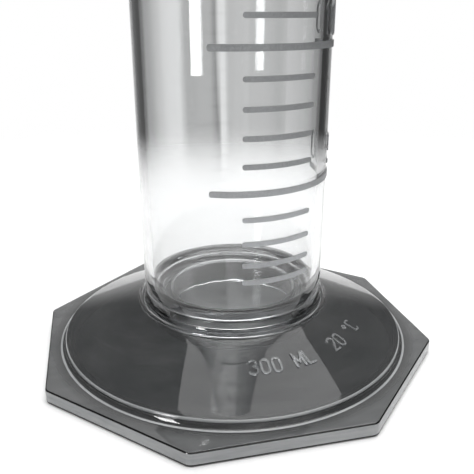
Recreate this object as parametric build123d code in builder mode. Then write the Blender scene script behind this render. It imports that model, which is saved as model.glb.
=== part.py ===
"""A 300 ml plastic measuring cylinder on an octagonal foot.

Frame: millimetres, +Z up, origin on the standing surface under the middle of the foot.
The flats of the octagon face +X, -X, +Y and -Y, and the pouring spout points to -X.
"""

from build123d import *
from math import atan, atan2, cos, degrees, pi, radians, sin, tan
import os

# Tube
total_height = 232.0
tube_radius = 24.45
wall = 2.15
bore_radius = tube_radius - wall
floor_top = 18.4
floor_thickness = 2.8
floor_fillet = 2.6
rim_bead_radius = 1.5

# Collar moulded round the bottom of the tube, and the skirt that plugs into the foot
collar_radius = 26.5
collar_top = 14.45
collar_fillet = 1.15
lip_radius = 0.42
skirt_radius = 20.0
skirt_wall = 2.2
skirt_bottom = 7.5

# Pouring spout: a hollow cone that leans outwards through the wall and is cut off at the rim
spout_lean = 14.0
spout_half_angle = 15.5
spout_depth = 36.0
spout_reach = 7.2
spout_wall = 1.9

# Foot: an octagonal plate, a short step and a cone up to the seat
foot_corner_radius = 55.7
plate_thickness = 3.57
plate_corner_rounding = 2.6
plate_edge_rounding = 0.45
cone_base_radius = 46.95
cone_base_height = 5.5
cone_top_radius = 26.55
seat_height = 13.96
cone_edge_rounding = 0.5
step_fillet = 1.4
foot_wall = 2.7
socket_clearance = 0.1
socket_wall = 2.4

# Scale: one division is 10 ml, and every fifth line is long
divisions = 30
long_every = 5
millilitres_per_division = 10
cubic_mm_per_millilitre = 1000
pitch = millilitres_per_division * cubic_mm_per_millilitre / (pi * bore_radius**2)
scale_zero = 17.9
lowest_line_lift = 3.8
lift_ratio = 0.46
line_relief = 0.35
short_line_width = 1.25
long_line_width = 1.5
line_end_rounding = 0.55
short_line_start = -97.65
short_line_end = -54.35
long_line_start = -115.35
long_line_end = 2.0

# Raised figures and wording
figure_size = 7.0
figure_stroke = 0.85
figure_gap = 1.6
figure_advance = 0.76
figure_relief = 0.35
figure_root = 1.0
unit_size = 5.5
wording = "300 ML  20 °C"
wording_size = 3.8
wording_stroke = 0.5
wording_relief = 0.3
wording_radius = 36.2
wording_middle = -66.0
wording_advance = 3.05

# How far a cutting shape reaches past the surface it opens
overcut = 1.0

os.makedirs("parts", exist_ok=True)


def line_height(division):
    """Height of the middle of a line. The lowest lines stand closer together."""
    return scale_zero + pitch * division + lowest_line_lift * lift_ratio ** (division - 1)


def arc_line(start, end, width):
    """A raised line along an arc of the tube, with rounded ends, at height zero."""
    with BuildPart() as line:
        with BuildSketch(Plane.XZ.rotated((0, 0, start))):
            with Locations((tube_radius + line_relief / 2, 0)):
                Rectangle(line_relief, width)
        revolve(axis=Axis.Z, revolution_arc=end - start)
        end_corners = [edge for edge in line.edges() if edge.length < 2 * line_relief]
        fillet(end_corners, line_end_rounding)
    return line.part


def degrees_of_arc(length):
    """Angle that a length takes up on the outside of the tube."""
    return length / tube_radius * 180 / pi


def straight_stroke(start, end, stroke):
    """A straight stroke of a character, with round ends."""
    path = Vector(*end) - Vector(*start)
    turn = degrees(atan2(path.Y, path.X))
    with Locations(Location((Vector(*start) + Vector(*end)) / 2, (0, 0, turn))):
        SlotCenterToCenter(path.length, stroke)


def round_stroke(middle, radius, start_angle, arc_size, stroke):
    """A stroke along an arc, with round ends."""
    with BuildLine(mode=Mode.PRIVATE):
        path = CenterArc(middle, radius, start_angle, arc_size)
    SlotArc(path, stroke)


def character_strokes(character, size, stroke):
    """Draws a character of a given height, standing on the origin of the sketch."""
    half = 0.25 * size
    bend = size - half
    wide = 0.31 * size
    hump = wide / 2
    if character in "0C":
        opening = 35 if character == "C" else 0
        round_stroke((0, bend), half, opening, 180 - opening, stroke)
        round_stroke((0, half), half, 180, 180 - opening, stroke)
        straight_stroke((-half, half), (-half, bend), stroke)
        if character == "0":
            straight_stroke((half, half), (half, bend), stroke)
    elif character in "1l":
        straight_stroke((0, 0), (0, size), stroke)
        if character == "1":
            straight_stroke((-0.7 * half, bend + 0.2 * half), (0, size), stroke)
    elif character == "2":
        round_stroke((0, bend), half, -35, 205, stroke)
        foot_of_curve = (half * cos(radians(35)), bend - half * sin(radians(35)))
        straight_stroke(foot_of_curve, (-half, 0), stroke)
        straight_stroke((-half, 0), (half, 0), stroke)
    elif character == "3":
        upper = 0.23 * size
        lower = (size - 2 * upper) / 2
        round_stroke((0, size - upper), upper, -90, 245, stroke)
        round_stroke((0, lower), lower, 90, -245, stroke)
    elif character == "5":
        bowl = 0.3 * size
        shoulder = bowl + bowl * sin(radians(135))
        side = bowl * cos(radians(135))
        round_stroke((0, bowl), bowl, 135, -275, stroke)
        straight_stroke((side, shoulder), (side, size), stroke)
        straight_stroke((side, size), (half, size), stroke)
    elif character == "M":
        straight_stroke((-wide, 0), (-wide, size), stroke)
        straight_stroke((-wide, size), (0, half), stroke)
        straight_stroke((0, half), (wide, size), stroke)
        straight_stroke((wide, size), (wide, 0), stroke)
    elif character == "m":
        straight_stroke((-wide, 0), (-wide, hump + half), stroke)
        for side in (-hump, hump):
            round_stroke((side, half), hump, 0, 180, stroke)
            straight_stroke((side + hump, half), (side + hump, 0), stroke)
    elif character == "L":
        straight_stroke((-half, size), (-half, 0), stroke)
        straight_stroke((-half, 0), (half, 0), stroke)
    elif character == "°":
        with Locations((0, size - half / 2)):
            Circle(half / 2 + stroke / 2)
            Circle(half / 2 - stroke / 2, mode=Mode.SUBTRACT)


def figures(text, baseline, size):
    """Raised characters wrapped on the tube, with the last one at the end of the long lines."""
    with BuildPart() as row:
        step = degrees_of_arc(figure_advance * size)
        # The last character stands at the end of the long line, the others before it
        for place, character in enumerate(reversed(text)):
            azimuth = radians(long_line_end - step * (place + 0.5))
            outward = Vector(cos(azimuth), sin(azimuth), 0)
            along = Vector(-sin(azimuth), cos(azimuth), 0)
            middle = outward * (tube_radius - figure_root) + Vector(0, 0, baseline)
            with BuildSketch(Plane(origin=middle, x_dir=along, z_dir=outward)):
                character_strokes(character, size, figure_stroke)
            extrude(amount=2 * figure_root + figure_relief)
        # Keeps the layer that stands out from the wall, with room below and above the characters
        with BuildSketch(Plane.XY.offset(baseline - size)) as layer:
            Circle(tube_radius + figure_relief)
            Circle(tube_radius, mode=Mode.SUBTRACT)
        extrude(layer.sketch, amount=3 * size, mode=Mode.INTERSECT)
    return row.part


# Measuring tube: bore, floor, collar and skirt turned in one profile, then the spout
skirt_inner = skirt_radius - skirt_wall
lip_middle = collar_radius - lip_radius
spout_apex_x = spout_depth * tan(radians(spout_lean + spout_half_angle)) - tube_radius - spout_reach
spout_inset = spout_wall / sin(radians(spout_half_angle))
spout_height = 1.5 * spout_depth


def spout_cone(inset, mode):
    """The leaning cone, with its point moved up its axis by an inset."""
    start = Vector(spout_apex_x, 0, total_height - spout_depth)
    upwards = Vector(-sin(radians(spout_lean)), 0, cos(radians(spout_lean)))
    apex = start + upwards * inset
    with Locations(Plane(origin=apex, z_dir=upwards)):
        Cone(
            bottom_radius=0,
            top_radius=spout_height * tan(radians(spout_half_angle)),
            height=spout_height,
            align=(Align.CENTER, Align.CENTER, Align.MIN),
            mode=mode,
        )


with BuildPart() as measuring_tube:
    with BuildSketch(Plane.XZ) as tube_profile:
        with BuildLine():
            Polyline(
                (0, floor_top),
                (bore_radius, floor_top),
                (bore_radius, total_height),
                (tube_radius, total_height),
                (tube_radius, collar_top),
                (lip_middle - lip_radius, collar_top),
            )
            ThreePointArc(
                (lip_middle - lip_radius, collar_top),
                (lip_middle, collar_top + lip_radius),
                (collar_radius, collar_top),
            )
            Polyline(
                (collar_radius, collar_top),
                (collar_radius, seat_height),
                (skirt_radius, seat_height),
                (skirt_radius, skirt_bottom),
                (skirt_inner, skirt_bottom),
                (skirt_inner, floor_top - floor_thickness),
                (0, floor_top - floor_thickness),
                (0, floor_top),
            )
        make_face()
        floor_corner = tube_profile.vertices().sort_by_distance((bore_radius, floor_top))[0]
        fillet(floor_corner, floor_fillet)
        collar_corner = tube_profile.vertices().sort_by_distance((tube_radius, collar_top))[0]
        fillet(collar_corner, collar_fillet)
        with Locations((tube_radius, total_height - rim_bead_radius)):
            Circle(rim_bead_radius)
    revolve(axis=Axis.Z)
    spout_cone(0, Mode.ADD)
    spout_cone(spout_inset, Mode.SUBTRACT)
    with Locations((0, 0, floor_top + floor_fillet)):
        Cylinder(
            bore_radius,
            total_height,
            align=(Align.CENTER, Align.CENTER, Align.MIN),
            mode=Mode.SUBTRACT,
        )
    with Locations((0, 0, total_height)):
        Box(
            total_height,
            total_height,
            total_height,
            align=(Align.CENTER, Align.CENTER, Align.MIN),
            mode=Mode.SUBTRACT,
        )
measuring_tube.part.label = "measuring_tube"
export_step(measuring_tube.part, "parts/measuring_tube.step")


# Octagonal foot: plate, step and cone, hollow underneath, with a socket for the skirt
cone_slope = (seat_height - cone_base_height) / (cone_base_radius - cone_top_radius)
wall_drop = foot_wall * (1 + cone_slope**2) ** 0.5
socket_radius = skirt_radius + socket_clearance
socket_outside = socket_radius + socket_wall
hollow_radius = cone_base_radius - foot_wall


def underside(radius):
    """Height of the inside of the cone at a radius."""
    return cone_base_height + (cone_base_radius - radius) * cone_slope - wall_drop


with BuildPart() as octagonal_foot:
    with BuildSketch():
        RegularPolygon(foot_corner_radius, 8, rotation=22.5)
    extrude(amount=plate_thickness)
    fillet(octagonal_foot.edges().filter_by(Axis.Z), plate_corner_rounding)
    fillet(octagonal_foot.faces().sort_by(Axis.Z)[-1].edges(), plate_edge_rounding)
    with BuildSketch(Plane.XZ):
        Polygon(
            (0, plate_thickness / 2),
            (cone_base_radius, plate_thickness / 2),
            (cone_base_radius, cone_base_height),
            (cone_top_radius, seat_height),
            (0, seat_height),
            align=None,
        )
    revolve(axis=Axis.Z)
    rings = octagonal_foot.edges().filter_by(GeomType.CIRCLE)
    step_root = rings.sort_by_distance((cone_base_radius, 0, plate_thickness))[0]
    fillet(step_root, step_fillet)
    rings = octagonal_foot.edges().filter_by(GeomType.CIRCLE)
    cone_edge = rings.sort_by_distance((cone_base_radius, 0, cone_base_height))[0]
    fillet(cone_edge, cone_edge_rounding)
    with BuildSketch(Plane.XZ):
        Polygon(
            (0, -overcut),
            (hollow_radius, -overcut),
            (hollow_radius, underside(hollow_radius)),
            (socket_outside, underside(socket_outside)),
            (socket_outside, skirt_bottom),
            (socket_radius, skirt_bottom),
            (socket_radius, seat_height + overcut),
            (0, seat_height + overcut),
            align=None,
        )
    revolve(axis=Axis.Z, mode=Mode.SUBTRACT)
octagonal_foot.part.label = "octagonal_foot"
export_step(octagonal_foot.part, "parts/octagonal_foot.step")


# Scale lines: raised on the outside of the tube, long at every 50 ml and short between them
long_divisions = [n for n in range(1, divisions + 1) if n % long_every == 0]
short_divisions = [n for n in range(1, divisions + 1) if n % long_every]
short_line = arc_line(short_line_start, short_line_end, short_line_width)
long_line = arc_line(long_line_start, long_line_end, long_line_width)

with BuildPart() as scale_short_lines:
    with Locations([(0, 0, line_height(n)) for n in short_divisions]):
        add(short_line)
scale_short_lines.part.label = "scale_short_lines"
export_step(scale_short_lines.part, "parts/scale_short_lines.step")

with BuildPart() as scale_long_lines:
    with Locations([(0, 0, line_height(n)) for n in long_divisions]):
        add(long_line)
scale_long_lines.part.label = "scale_long_lines"
export_step(scale_long_lines.part, "parts/scale_long_lines.step")


# Figures standing on the long lines, and the unit above the last of them
above_line = long_line_width / 2 + figure_gap

with BuildPart() as scale_figures:
    for n in long_divisions:
        add(figures(str(millilitres_per_division * n), line_height(n) + above_line, figure_size))
scale_figures.part.label = "scale_figures"
export_step(scale_figures.part, "parts/scale_figures.step")

with BuildPart() as unit_marking:
    unit_baseline = line_height(divisions) + above_line + figure_size + figure_gap
    add(figures("ml", unit_baseline, unit_size))
unit_marking.part.label = "unit_marking"
export_step(unit_marking.part, "parts/unit_marking.step")


# Wording raised on the cone, reading round it with the feet of the letters outwards
lean = atan(cone_slope)
wording_height = cone_base_height + (cone_base_radius - wording_radius) * cone_slope
wording_step = wording_advance / wording_radius * 180 / pi

with BuildPart() as foot_wording:
    for place, character in enumerate(wording):
        if character == " ":
            continue
        azimuth = radians(wording_middle + (place - (len(wording) - 1) / 2) * wording_step)
        outward = Vector(cos(azimuth), sin(azimuth), 0)
        along = Vector(-sin(azimuth), cos(azimuth), 0)
        square = outward * sin(lean) + Vector(0, 0, cos(lean))
        middle = outward * wording_radius + Vector(0, 0, wording_height)
        with BuildSketch(Plane(origin=middle, x_dir=along, z_dir=square)):
            character_strokes(character, wording_size, wording_stroke)
        extrude(amount=wording_relief)
foot_wording.part.label = "foot_wording"
export_step(foot_wording.part, "parts/foot_wording.step")
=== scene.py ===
"""Looks of the measuring cylinder: clear tube, smoke-grey foot, frosted relief and studio."""

import bpy
from math import atan2, cos, degrees, pi, radians, sin, sqrt, tan
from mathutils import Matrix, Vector


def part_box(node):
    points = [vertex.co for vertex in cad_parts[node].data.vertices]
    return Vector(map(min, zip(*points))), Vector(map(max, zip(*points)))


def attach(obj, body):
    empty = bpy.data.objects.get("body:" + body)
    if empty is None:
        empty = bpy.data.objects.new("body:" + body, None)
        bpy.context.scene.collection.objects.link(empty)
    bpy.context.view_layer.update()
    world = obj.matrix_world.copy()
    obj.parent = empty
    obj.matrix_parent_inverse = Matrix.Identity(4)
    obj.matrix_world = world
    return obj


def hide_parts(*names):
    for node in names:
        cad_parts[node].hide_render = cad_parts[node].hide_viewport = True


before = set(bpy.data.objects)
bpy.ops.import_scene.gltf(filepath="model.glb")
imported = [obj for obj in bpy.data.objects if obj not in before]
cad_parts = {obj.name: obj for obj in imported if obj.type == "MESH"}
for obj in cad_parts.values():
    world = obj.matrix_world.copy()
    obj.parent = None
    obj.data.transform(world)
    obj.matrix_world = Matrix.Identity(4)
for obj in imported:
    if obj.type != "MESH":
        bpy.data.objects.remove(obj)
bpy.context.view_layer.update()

MM = 0.001

# ---------------------------------------------------------------- places, from the frame
tube_low, tube_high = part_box("measuring_tube")
foot_low, foot_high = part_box("octagonal_foot")

RIM = tube_high[2]
SKIRT_BOTTOM = tube_low[2]
COLLAR_R = tube_high[1]
SEAT = foot_high[2]
APOTHEM = foot_high[0]

# Sizes that the boxes don't give, as in the CAD model
TUBE_R = 24.45 * MM
BORE_R = 22.3 * MM
FLOOR_TOP = 18.4 * MM
FLOOR_UNDER = 15.6 * MM
FLOOR_FILLET = 2.6 * MM
COLLAR_TOP = 14.45 * MM
COLLAR_FILLET = 1.15 * MM
LIP_R = 0.42 * MM
SKIRT_R = 20.0 * MM
SKIRT_INNER = 17.8 * MM
BEAD_R = 1.5 * MM
PLATE_TOP = 3.57 * MM
PLATE_ROUND = 2.6 * MM
PLATE_EDGE = 0.45 * MM
CONE_BASE_R = 46.95 * MM
CONE_BASE_Z = 5.5 * MM
CONE_TOP_R = 26.55 * MM
STEP_FILLET = 1.4 * MM
CONE_EDGE = 0.5 * MM
HOLLOW_R = CONE_BASE_R - 2.7 * MM
SOCKET_R = 20.1 * MM
SOCKET_OUT = 22.5 * MM
CONE_SLOPE = (SEAT - CONE_BASE_Z) / (CONE_BASE_R - CONE_TOP_R)
CONE_LEAN = atan2(SEAT - CONE_BASE_Z, CONE_BASE_R - CONE_TOP_R)
WALL_DROP = (CONE_BASE_R - HOLLOW_R) * sqrt(1 + CONE_SLOPE * CONE_SLOPE)

# Small roundings that only the looks have
RIM_ROUND = 0.55 * MM
SPOUT_BLEND = 0.9 * MM
COLLAR_EDGE = 0.1 * MM
SKIRT_EDGE = 0.4 * MM
SEAT_EDGE = 0.25 * MM
SMALL_EDGE = 0.3 * MM
UNDER_FILLET = 1.2 * MM
BOTTOM_EDGE = 0.2 * MM
SEAT_GAP = 0.02 * MM
# Height of the painted dark line along the foot's ground edge
GROUND_SHADE_HEIGHT = 0.5 * MM


# ---------------------------------------------------------------- mesh helpers
def mesh_object(name, points, faces, sharp_angle=None):
    """A mesh object with smooth faces and edges kept sharp above an angle."""
    mesh = bpy.data.meshes.new(name)
    mesh.from_pydata(points, [], faces)
    mesh.validate()
    mesh.polygons.foreach_set("use_smooth", [True] * len(mesh.polygons))
    if sharp_angle:
        mesh.set_sharp_from_angle(angle=radians(sharp_angle))
    piece = bpy.data.objects.new(name, mesh)
    bpy.context.collection.objects.link(piece)
    return piece


def turned(name, rings, azimuths, sharp_angle=35):
    """A closed solid of revolution whose rings may vary round the axis.

    Each ring is a function of azimuth that gives (radius, height); a ring given as a plain
    height is a point on the axis.
    """
    points = []
    starts = []
    for ring in rings:
        starts.append(len(points))
        if callable(ring):
            for azimuth in azimuths:
                radius, height = ring(azimuth)
                points.append((radius * cos(azimuth), radius * sin(azimuth), height))
        else:
            points.append((0.0, 0.0, ring))
    count = len(azimuths)
    faces = []
    for here, after, first, second in zip(rings, rings[1:], starts, starts[1:]):
        for i in range(count):
            j = (i + 1) % count
            if callable(here) and callable(after):
                faces.append((first + i, second + i, second + j, first + j))
            elif callable(after):
                faces.append((first, second + i, second + j))
            elif callable(here):
                faces.append((first + i, second, first + j))
    return mesh_object(name, points, faces, sharp_angle)


def circle(radius, height):
    """A plain ring."""
    return lambda azimuth: (radius, height)


def arc_rings(middle_r, middle_z, radius, start, end, steps):
    """Rings along an arc of the profile, angles in degrees from +r towards +z."""
    rings = []
    for i in range(steps + 1):
        angle = radians(start + (end - start) * i / steps)
        rings.append(circle(middle_r + radius * cos(angle), middle_z + radius * sin(angle)))
    return rings


def quarter_round(size, steps):
    """Distances from the two sides of a corner, along its rounding."""
    for i in range(steps + 1):
        angle = pi / 2 * i / steps
        yield size * (1 - cos(angle)), size * (1 - sin(angle))


def between(start, end, steps):
    """Even steps between two values, without the two ends."""
    return [start + (end - start) * i / steps for i in range(1, steps)]


def even_azimuths(count):
    return [2 * pi * i / count for i in range(count)]


# ---------------------------------------------------------------- measuring tube
SPOUT_LEAN = radians(14)
SPOUT_HALF = radians(15.5)
SPOUT_DEPTH = 36 * MM
SPOUT_REACH = 7.2 * MM
SPOUT_WALL = 1.9 * MM
SPOUT_APEX_X = SPOUT_DEPTH * tan(SPOUT_LEAN + SPOUT_HALF) - TUBE_R - SPOUT_REACH
SPOUT_ZONE = 40 * MM  # depth below the rim where the rings stand a millimetre apart


def spout_radius(azimuth, height, inset):
    """How far the spout's cone reaches from the tube's axis, or 0 where it doesn't."""
    upwards = Vector((-sin(SPOUT_LEAN), 0, cos(SPOUT_LEAN)))
    apex = Vector((SPOUT_APEX_X, 0, RIM - SPOUT_DEPTH)) + upwards * (inset / sin(SPOUT_HALF))
    out = Vector((cos(azimuth), sin(azimuth), 0))
    base = Vector((0, 0, height)) - apex
    along = base.dot(upwards)
    tilt = out.dot(upwards)
    spread = cos(SPOUT_HALF) ** 2
    a = tilt * tilt - spread
    b = 2 * (along * tilt - spread * base.dot(out))
    c = along * along - spread * base.dot(base)
    root = b * b - 4 * a * c
    if root < 0:
        return 0.0
    reach = max((-b + sqrt(root)) / (2 * a), (-b - sqrt(root)) / (2 * a))
    if reach <= 0 or along + reach * tilt <= 0:
        return 0.0
    return reach


def soft_max(a, b, blend):
    """The larger of two lengths, with a small fillet where they meet."""
    return (a + b + sqrt((a - b) ** 2 + blend * blend)) / 2


def wall_ring(outward, height, extra=0.0):
    """A ring of the wall: outward is 0 on the bore and 1 on the outside."""
    def ring(azimuth):
        plain = BORE_R + (TUBE_R - BORE_R) * outward + extra
        inner = spout_radius(azimuth, height, SPOUT_WALL)
        outer = spout_radius(azimuth, height, 0)
        if not inner and not outer:
            return plain, height
        spout = inner + (outer - inner) * outward
        return soft_max(plain, spout, SPOUT_BLEND), height
    return ring


def bore_rings():
    """The floor and the bore, up to the rim."""
    rings = [FLOOR_TOP]
    for radius in (4, 9, 14, 18):
        rings.append(circle(radius * MM, FLOOR_TOP))
    rings += arc_rings(BORE_R - FLOOR_FILLET, FLOOR_TOP + FLOOR_FILLET, FLOOR_FILLET, -90, 0, 10)
    for height in between(FLOOR_TOP + FLOOR_FILLET, RIM - SPOUT_ZONE, 30):
        rings.append(wall_ring(0, height))
    for depth in range(38, 2, -1):
        rings.append(wall_ring(0, RIM - depth * MM))
    for out, drop in quarter_round(RIM_ROUND, 6):
        rings.append(wall_ring(out / (TUBE_R - BORE_R), RIM - drop))
    return rings


def outside_rings():
    """The rim bead and the outside of the tube, down to the collar."""
    rings = []
    for i in range(15):
        angle = pi * i / 14
        rings.append(wall_ring(1, RIM - BEAD_R * (1 - cos(angle)), BEAD_R * sin(angle)))
    for depth in range(4, 39):
        rings.append(wall_ring(1, RIM - depth * MM))
    for height in between(RIM - SPOUT_ZONE, COLLAR_TOP + COLLAR_FILLET, 30):
        rings.append(wall_ring(1, height))
    return rings


def collar_rings():
    """The collar with its lip, the skirt and the underside of the floor."""
    collar_fillet_r = TUBE_R + COLLAR_FILLET
    seat = SEAT + SEAT_GAP
    skirt_end = SKIRT_BOTTOM + SKIRT_EDGE
    rings = arc_rings(collar_fillet_r, COLLAR_TOP + COLLAR_FILLET, COLLAR_FILLET, 180, 270, 8)
    rings += arc_rings(COLLAR_R - LIP_R, COLLAR_TOP, LIP_R, 180, 0, 12)
    rings += arc_rings(COLLAR_R - COLLAR_EDGE, seat + COLLAR_EDGE, COLLAR_EDGE, 0, -90, 3)
    rings.append(circle(SKIRT_R + SMALL_EDGE, seat))
    rings.append(circle(SKIRT_R, seat - SMALL_EDGE))
    rings += arc_rings(SKIRT_R - SKIRT_EDGE, skirt_end, SKIRT_EDGE, 0, -90, 4)
    rings += arc_rings(SKIRT_INNER + SKIRT_EDGE, skirt_end, SKIRT_EDGE, 270, 180, 4)
    rings += arc_rings(SKIRT_INNER - UNDER_FILLET, FLOOR_UNDER - UNDER_FILLET, UNDER_FILLET, 0, 90, 6)
    for radius in (14, 9, 4):
        rings.append(circle(radius * MM, FLOOR_UNDER))
    rings.append(FLOOR_UNDER)
    return rings


# ---------------------------------------------------------------- octagonal foot
def octagon_radius(azimuth, inset):
    """Radius of the octagon with rounded corners, drawn in by an inset."""
    apothem = APOTHEM - inset
    rounding = max(PLATE_ROUND - inset, 0.1 * MM)
    away = (azimuth + pi / 8) % (pi / 4) - pi / 8
    touch = atan2(tan(pi / 8) * (apothem - rounding), apothem)
    if abs(away) <= touch:
        return apothem / cos(away)
    corner = (apothem - rounding) / cos(pi / 8)
    off = pi / 8 - abs(away)
    return corner * cos(off) + sqrt(rounding**2 - (corner * sin(off)) ** 2)


def octagon(inset, height):
    """A ring along the octagon."""
    return lambda azimuth: (octagon_radius(azimuth, inset), height)


def foot_azimuths():
    """Even steps, with finer ones round the eight rounded corners."""
    steps = set(round(azimuth, 6) for azimuth in even_azimuths(320))
    fine_step = radians(0.13)
    for corner in range(8):
        middle = pi / 8 + corner * pi / 4
        for i in range(-10, 11):
            steps.add(round(middle + fine_step * i, 6))
    return sorted(steps)


def underside(radius):
    """Height of the inside of the cone at a radius."""
    return CONE_BASE_Z + (CONE_BASE_R - radius) * CONE_SLOPE - WALL_DROP


def cone_rings():
    """The socket's wall, the seat, the cone and the step."""
    lean = degrees(CONE_LEAN)
    edge_r = CONE_BASE_R - CONE_EDGE
    edge_z = CONE_BASE_Z + CONE_EDGE * tan(CONE_LEAN) - CONE_EDGE / cos(CONE_LEAN)
    rings = [circle(SOCKET_R, SKIRT_BOTTOM)]
    rings.append(circle(SOCKET_R, SEAT - SMALL_EDGE))
    rings.append(circle(SOCKET_R + SMALL_EDGE, SEAT))
    rings += arc_rings(CONE_TOP_R - SEAT_EDGE, SEAT - SEAT_EDGE, SEAT_EDGE, 90, 90 - lean, 4)
    for radius, height in zip(between(CONE_TOP_R, CONE_BASE_R, 12), between(SEAT, CONE_BASE_Z, 12)):
        rings.append(circle(radius, height))
    rings += arc_rings(edge_r, edge_z, CONE_EDGE, 90 - lean, 0, 6)
    rings += arc_rings(CONE_BASE_R + STEP_FILLET, PLATE_TOP + STEP_FILLET, STEP_FILLET, 180, 270, 8)
    return rings


def plate_rings():
    """The octagonal plate, from its top round its edge to the ground."""
    rings = [octagon(2.2 * MM, PLATE_TOP)]
    for drop, inset in quarter_round(PLATE_EDGE, 5):
        rings.append(octagon(inset, PLATE_TOP - drop))
    # Top of the painted dark line along the ground
    rings.append(octagon(0, GROUND_SHADE_HEIGHT))
    for inset, height in quarter_round(BOTTOM_EDGE, 3):
        rings.append(octagon(inset, height))
    return rings


def hollow_rings():
    """The hollow underside, up to the socket."""
    rings = [circle(HOLLOW_R + SMALL_EDGE, 0.0)]
    rings.append(circle(HOLLOW_R, SMALL_EDGE))
    for radius in [HOLLOW_R] + between(HOLLOW_R, SOCKET_OUT, 8) + [SOCKET_OUT]:
        rings.append(circle(radius, underside(radius)))
    rings.append(circle(SOCKET_OUT, SKIRT_BOTTOM + SMALL_EDGE))
    rings.append(circle(SOCKET_OUT - SMALL_EDGE, SKIRT_BOTTOM))
    rings.append(circle(SOCKET_R, SKIRT_BOTTOM))
    return rings


# Places of the foot's finishes in its list of materials. Only the cone's finish is the plastic's own
# smoke-grey; the others paint light and shade: highlights, shade on the plate top and dark lines.
CONE, TOP, PAINTED_HIGHLIGHT, PAINTED_DARK = range(4)


def foot_finish(reach, height, up):
    """Which finish a face of the foot has, from its place and the upward part of its normal. Every
    finish but the cone's paints light or shade.
    """
    # Painted highlights: pale lines along the cone's edge and the end of the step.
    on_cone_edge = abs(reach - CONE_BASE_R) < 0.35 * MM and height > PLATE_TOP + STEP_FILLET
    at_step_end = abs(reach - CONE_BASE_R - STEP_FILLET) < 0.5 * MM
    if on_cone_edge or (at_step_end and height > PLATE_TOP + 0.002 * MM):
        return PAINTED_HIGHLIGHT
    # Painted shade: dark lines along the ground and a dark ring under the collar.
    at_ground = height < GROUND_SHADE_HEIGHT and reach > APOTHEM - 0.3 * MM
    under_collar = height > SEAT - 0.35 * MM and reach < CONE_TOP_R
    if at_ground or under_collar:
        return PAINTED_DARK
    # Painted light: the plate's upright sides are made paler.
    if abs(up) < 0.2 and reach > APOTHEM - 0.1 * MM:
        return PAINTED_HIGHLIGHT
    # The plate's top has painted shade beside the cone, and its rounded top edge a painted dark line.
    on_plate = PLATE_TOP - PLATE_EDGE < height < PLATE_TOP + 0.1 * MM
    if on_plate and reach > CONE_BASE_R + STEP_FILLET:
        return TOP if up > 0.9 else PAINTED_DARK
    return CONE


# ---------------------------------------------------------------- materials
def new_material(name):
    """A material with its nodes, links and shader."""
    material = bpy.data.materials.new(name)
    material.use_nodes = True
    tree = material.node_tree
    return material, tree.nodes, tree.links, tree.nodes["Principled BSDF"]


def add_node(nodes, kind, **values):
    """A node with its input values. Words of an input's name are joined by underscores."""
    node = nodes.new("ShaderNode" + kind)
    for name, value in values.items():
        node.inputs[name.replace("_", " ")].default_value = value
    return node


def two_tone(nodes, links, factor, dark_at, dark, pale_at, pale):
    """A ramp between two colours."""
    tint = add_node(nodes, "ValToRGB")
    low, high = tint.color_ramp.elements
    low.position = dark_at
    low.color = (*dark, 1)
    high.position = pale_at
    high.color = (*pale, 1)
    links.new(factor, tint.inputs["Fac"])
    return tint.outputs["Color"]


def scaled(nodes, links, colour, factor):
    """A colour multiplied by a number."""
    dim = add_node(nodes, "VectorMath")
    dim.operation = "SCALE"
    links.new(colour, dim.inputs[0])
    links.new(factor, dim.inputs["Scale"])
    return dim.outputs["Vector"]


def moulded_surface(nodes, links, shader, wave, roughness_low, roughness_high, stretch=1):
    """Faint waves and handling marks of a polished moulding: bump and uneven roughness.

    stretch draws the waves out along the height, as on a tube pulled off a core.
    """
    place = add_node(nodes, "TexCoord").outputs["Object"]
    drawn = add_node(nodes, "Mapping", Scale=(1, 1, 1 / stretch))
    links.new(place, drawn.inputs["Vector"])
    waves = add_node(nodes, "TexNoise", Scale=55 * stretch**0.3, Detail=2)
    links.new(drawn.outputs["Vector"], waves.inputs["Vector"])
    bump = add_node(nodes, "Bump", Strength=wave, Distance=0.4 * MM)
    links.new(waves.outputs["Fac"], bump.inputs["Height"])
    links.new(bump.outputs["Normal"], shader.inputs["Normal"])
    smears = add_node(nodes, "TexNoise", Scale=140, Detail=6, Distortion=0.8)
    links.new(place, smears.inputs["Vector"])
    spread = add_node(nodes, "MapRange", From_Min=0.35, From_Max=0.75)
    spread.inputs["To Min"].default_value = roughness_low
    spread.inputs["To Max"].default_value = roughness_high
    links.new(smears.outputs["Fac"], spread.inputs["Value"])
    links.new(spread.outputs["Result"], shader.inputs["Roughness"])
    return place


def absorbing(nodes, links, colour, density):
    """Darkens the light by the length of plastic that it passes."""
    absorption = add_node(nodes, "VolumeAbsorption", Color=colour, Density=density)
    links.new(absorption.outputs["Volume"], nodes["Material Output"].inputs["Volume"])


def clear_plastic():
    """The tube's clear plastic."""
    material, nodes, links, shader = new_material("clear_plastic")
    shader.inputs["Base Color"].default_value = (0.985, 0.99, 0.99, 1)
    shader.inputs["Transmission Weight"].default_value = 1
    shader.inputs["IOR"].default_value = 1.5
    moulded_surface(nodes, links, shader, 0.10, 0.005, 0.05, stretch=40)
    absorbing(nodes, links, (0.50, 0.51, 0.52, 1), 75)
    return material


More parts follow.
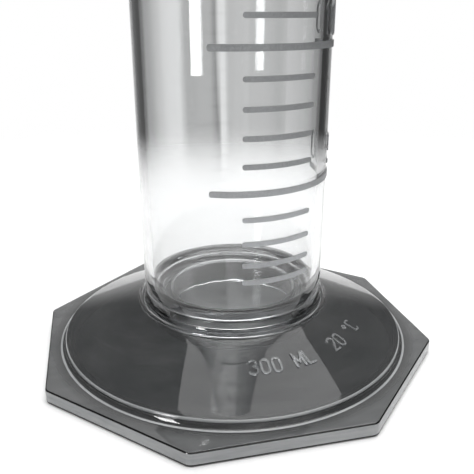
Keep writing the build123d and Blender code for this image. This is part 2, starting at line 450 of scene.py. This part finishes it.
def smoke_plastic(name, density, milk, glow, painted_shade_lightness=None):
    """Smoke-grey plastic. milk is the share that scatters light instead of passing it.

    glow is how light it is, and the last argument how light it is beside the cone, which paints shade
    on the plate darkening towards the cone.
    """
    material, nodes, links, shader = new_material(name)
    shader.inputs["Transmission Weight"].default_value = 1 - milk
    shader.inputs["IOR"].default_value = 1.55
    place = moulded_surface(nodes, links, shader, 0.03, 0.01, 0.07)
    slant = add_node(nodes, "Mapping", Rotation=(0.5, 0.3, 0.6), Scale=(0.25, 1, 4))
    links.new(place, slant.inputs["Vector"])
    streaks = add_node(nodes, "TexNoise", Scale=90, Detail=3, Roughness=0.7)
    links.new(slant.outputs["Vector"], streaks.inputs["Vector"])
    dark = (glow * 0.85, glow * 0.88, glow * 0.90)
    pale = [min(1, glow * more) for more in (1.35, 1.37, 1.38)]
    colour = two_tone(nodes, links, streaks.outputs["Fac"], 0.35, dark, 0.8, pale)
    # Painted shade: the colour darkens from the plate's edge in towards the cone.
    if painted_shade_lightness:
        length = add_node(nodes, "VectorMath")
        length.operation = "LENGTH"
        links.new(place, length.inputs[0])
        fade = add_node(nodes, "MapRange", From_Min=CONE_BASE_R, From_Max=APOTHEM)
        fade.inputs["To Min"].default_value = painted_shade_lightness / glow
        links.new(length.outputs["Value"], fade.inputs["Value"])
        colour = scaled(nodes, links, colour, fade.outputs["Result"])
    links.new(colour, shader.inputs["Base Color"])
    absorbing(nodes, links, (0.50, 0.515, 0.52, 1), density)
    return material


# Painted light: the lowest lines are made paler, between these heights, by this much
PALE_BELOW = (28 * MM, 56 * MM)
PALEST = 1.7


def frosted_relief():
    """Frosted relief with a fine grain."""
    material, nodes, links, shader = new_material("frosted_relief")
    shader.inputs["Transmission Weight"].default_value = 0.6
    shader.inputs["IOR"].default_value = 1.5
    place = add_node(nodes, "TexCoord").outputs["Object"]
    grain = add_node(nodes, "TexNoise", Scale=2500, Detail=3)
    links.new(place, grain.inputs["Vector"])
    dark = (0.38, 0.39, 0.40)
    pale = (0.56, 0.57, 0.58)
    colour = two_tone(nodes, links, grain.outputs["Fac"], 0.3, dark, 0.75, pale)
    parts = add_node(nodes, "SeparateXYZ")
    links.new(place, parts.inputs["Vector"])
    # Painted light: the lines are made paler towards the bottom.
    painted_light_low = add_node(nodes, "MapRange", From_Min=PALE_BELOW[0], From_Max=PALE_BELOW[1])
    painted_light_low.inputs["To Min"].default_value = PALEST
    painted_light_low.inputs["To Max"].default_value = 1
    links.new(parts.outputs["Z"], painted_light_low.inputs["Value"])
    colour = scaled(nodes, links, colour, painted_light_low.outputs["Result"])
    links.new(colour, shader.inputs["Base Color"])
    spread = add_node(nodes, "MapRange", To_Min=0.25, To_Max=0.5)
    links.new(grain.outputs["Fac"], spread.inputs["Value"])
    links.new(spread.outputs["Result"], shader.inputs["Roughness"])
    bump = add_node(nodes, "Bump", Strength=0.25, Distance=0.05 * MM)
    links.new(grain.outputs["Fac"], bump.inputs["Height"])
    links.new(bump.outputs["Normal"], shader.inputs["Normal"])
    return material


# ---------------------------------------------------------------- making
clear = clear_plastic()
frosted = frosted_relief()
relief_smoke = smoke_plastic("smoke_relief", 300, 0.35, 0.45)
# The cone has the plastic's own smoke-grey; the other three are lit and shaded copies of it, with
# painted shade, painted highlights and painted dark lines.
foot_materials = {
    CONE: smoke_plastic("smoke_cone", 1300, 0.10, 0.5),
    TOP: smoke_plastic("smoke_plate_painted_shade", 900, 0.6, 0.16, 0.03),
    PAINTED_HIGHLIGHT: smoke_plastic("smoke_painted_highlight", 500, 0.8, 0.40),
    PAINTED_DARK: smoke_plastic("smoke_painted_dark", 900, 0.7, 0.01),
}

tube = turned("clear_tube", bore_rings() + outside_rings() + collar_rings(), even_azimuths(256))
tube.data.materials.append(clear)
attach(tube, "root")
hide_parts("measuring_tube")

foot = turned("smoke_foot", cone_rings() + plate_rings() + hollow_rings(), foot_azimuths())
for place in range(len(foot_materials)):
    foot.data.materials.append(foot_materials[place])
for face in foot.data.polygons:
    face.material_index = foot_finish(face.center.to_2d().length, face.center.z, face.normal.z)
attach(foot, "root")
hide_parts("octagonal_foot")

finishes = {
    "scale_short_lines": frosted,
    "scale_long_lines": frosted,
    "scale_figures": frosted,
    "unit_marking": frosted,
    "foot_wording": relief_smoke,
}
for node, finish in finishes.items():
    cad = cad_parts[node]
    cad.data.materials.clear()
    cad.data.materials.append(finish)


# ---------------------------------------------------------------- studio
AIR_GAP = 0.1 * MM  # between the foot and the floor, so that light passes between them
FLOOR_FADE = (0.13, 0.35)


def studio_floor():
    """A pale floor that fades into the white surroundings."""
    rings = [-AIR_GAP] + [circle(radius, -AIR_GAP) for radius in (0.1, 0.2, 0.3, 0.5, 0.8)]
    floor = turned("floor", rings, even_azimuths(64), None)
    material, nodes, links, shader = new_material("pale_floor")
    shader.inputs["Base Color"].default_value = (0.9, 0.9, 0.9, 1)
    shader.inputs["Roughness"].default_value = 0.9
    length = add_node(nodes, "VectorMath")
    length.operation = "LENGTH"
    links.new(add_node(nodes, "TexCoord").outputs["Object"], length.inputs[0])
    fade = add_node(nodes, "MapRange", To_Min=1, To_Max=0)
    fade.interpolation_type = "SMOOTHSTEP"
    fade.inputs["From Min"].default_value = FLOOR_FADE[0]
    fade.inputs["From Max"].default_value = FLOOR_FADE[1]
    links.new(length.outputs["Value"], fade.inputs["Value"])
    links.new(fade.outputs["Result"], shader.inputs["Alpha"])
    floor.data.materials.append(material)


def soft_light(name, place, aim, size, radiance, reflected=True):
    """A rectangular soft light of a given brightness."""
    light = bpy.data.lights.new(name, "AREA")
    light.shape = "RECTANGLE"
    light.size, light.size_y = size
    light.energy = radiance * pi * size[0] * size[1]
    lamp = bpy.data.objects.new(name, light)
    lamp.location = place
    lamp.rotation_euler = (Vector(aim) - Vector(place)).to_track_quat("-Z", "Y").to_euler()
    lamp.visible_glossy = reflected
    lamp.visible_camera = False
    bpy.context.collection.objects.link(lamp)
    return lamp


def strip(name, azimuth, distance, width, height, radiance):
    """An upright light that only reflections and refractions show, standing round the object."""
    angle = radians(azimuth)
    place = (distance * cos(angle), distance * sin(angle), height / 2)
    lamp = soft_light(name, place, (0, 0, height / 2), (width, height), radiance)
    lamp.visible_diffuse = False


studio_floor()
soft_light("ceiling", (0, 0, 1.4), (0, 0, 0), (1.6, 1.6), 2.7, reflected=False)
soft_light("overhead", (0.165, 0.15, 0.75), (0.165, 0.15, 0), (0.71, 0.9), 1.9)
strip("left_front_strip", -142, 0.80, 0.16, 0.7, 18)

# Brightness of the room behind the object, against the x of the direction
ROOM_BACK = (
    (-1.00, 0.10),
    (-0.26, 0.10),
    (-0.15, 0.58),
    (-0.05, 0.72),
    (0.05, 1.00),
    (0.094, 1.00),
    (0.110, 0.60),
    (0.176, 0.56),
    (0.184, 0.34),
    (0.190, 0.34),
    (0.196, 1.00),
    (0.206, 0.95),
    (0.214, 0.66),
    (0.34, 0.60),
    (0.36, 0.76),
    (0.50, 0.62),
    (0.58, 0.40),
    (0.66, 0.03),
    (1.00, 0.06),
)
ROOM_SIDES = 0.06
SIDES_WITHIN = (0.40, 0.60)  # size of the direction's y where the sides give way to the back


def surroundings():
    """White where it is seen directly, and a grey room where it is seen in or through the plastic."""
    world = bpy.data.worlds.new("world")
    world.use_nodes = True
    nodes, links = world.node_tree.nodes, world.node_tree.links
    room = nodes["Background"]
    parts = add_node(nodes, "SeparateXYZ")
    links.new(add_node(nodes, "TexCoord").outputs["Generated"], parts.inputs["Vector"])
    depth = add_node(nodes, "Math")
    depth.operation = "ABSOLUTE"
    links.new(parts.outputs["Y"], depth.inputs[0])
    sides = add_node(nodes, "MapRange", From_Min=SIDES_WITHIN[0], From_Max=SIDES_WITHIN[1])
    sides.interpolation_type = "SMOOTHSTEP"
    links.new(depth.outputs["Value"], sides.inputs["Value"])
    across = add_node(nodes, "MapRange", From_Min=-1)
    links.new(parts.outputs["X"], across.inputs["Value"])
    back = add_node(nodes, "ValToRGB")
    stops = back.color_ramp.elements
    for x, _ in ROOM_BACK[1:-1]:
        stops.new((x + 1) / 2)
    for stop, (_, grey) in zip(stops, ROOM_BACK):
        stop.color = (grey, grey, grey, 1)
    links.new(across.outputs["Result"], back.inputs["Fac"])
    blend = add_node(nodes, "Mix", A=ROOM_SIDES)
    links.new(sides.outputs["Result"], blend.inputs["Factor"])
    links.new(back.outputs["Color"], blend.inputs["B"])
    links.new(blend.outputs["Result"], room.inputs["Color"])
    white = add_node(nodes, "Background", Color=(1, 1, 1, 1))
    path = add_node(nodes, "LightPath")
    mix = add_node(nodes, "MixShader")
    links.new(path.outputs["Is Camera Ray"], mix.inputs["Fac"])
    links.new(room.outputs["Background"], mix.inputs[1])
    links.new(white.outputs["Background"], mix.inputs[2])
    links.new(mix.outputs["Shader"], nodes["World Output"].inputs["Surface"])
    bpy.context.scene.world = world


surroundings()

# Camera at the photograph's angle
CAMERA_AZIMUTH = radians(-102.95)
CAMERA_REACH = 155.4 * MM
CAMERA_HEIGHT = 89.1 * MM
CAMERA_DOWN = radians(20.6)
CAMERA_ASIDE = radians(0.46)
camera_data = bpy.data.cameras.new("camera")
camera_data.sensor_width = 36
camera_data.lens = 45.7
camera_data.clip_start = 5 * MM
camera = bpy.data.objects.new("camera", camera_data)
bpy.context.collection.objects.link(camera)
camera_x = CAMERA_REACH * cos(CAMERA_AZIMUTH)
camera_y = CAMERA_REACH * sin(CAMERA_AZIMUTH)
camera.location = (camera_x, camera_y, CAMERA_HEIGHT)
camera.rotation_euler = (pi / 2 - CAMERA_DOWN, 0, CAMERA_AZIMUTH + pi / 2 - CAMERA_ASIDE)
bpy.context.scene.camera = camera

scene = bpy.context.scene
scene.view_settings.view_transform = "Standard"
scene.cycles.max_bounces = 24
scene.cycles.transmission_bounces = 24
scene.cycles.transparent_max_bounces = 24
scene.cycles.glossy_bounces = 12
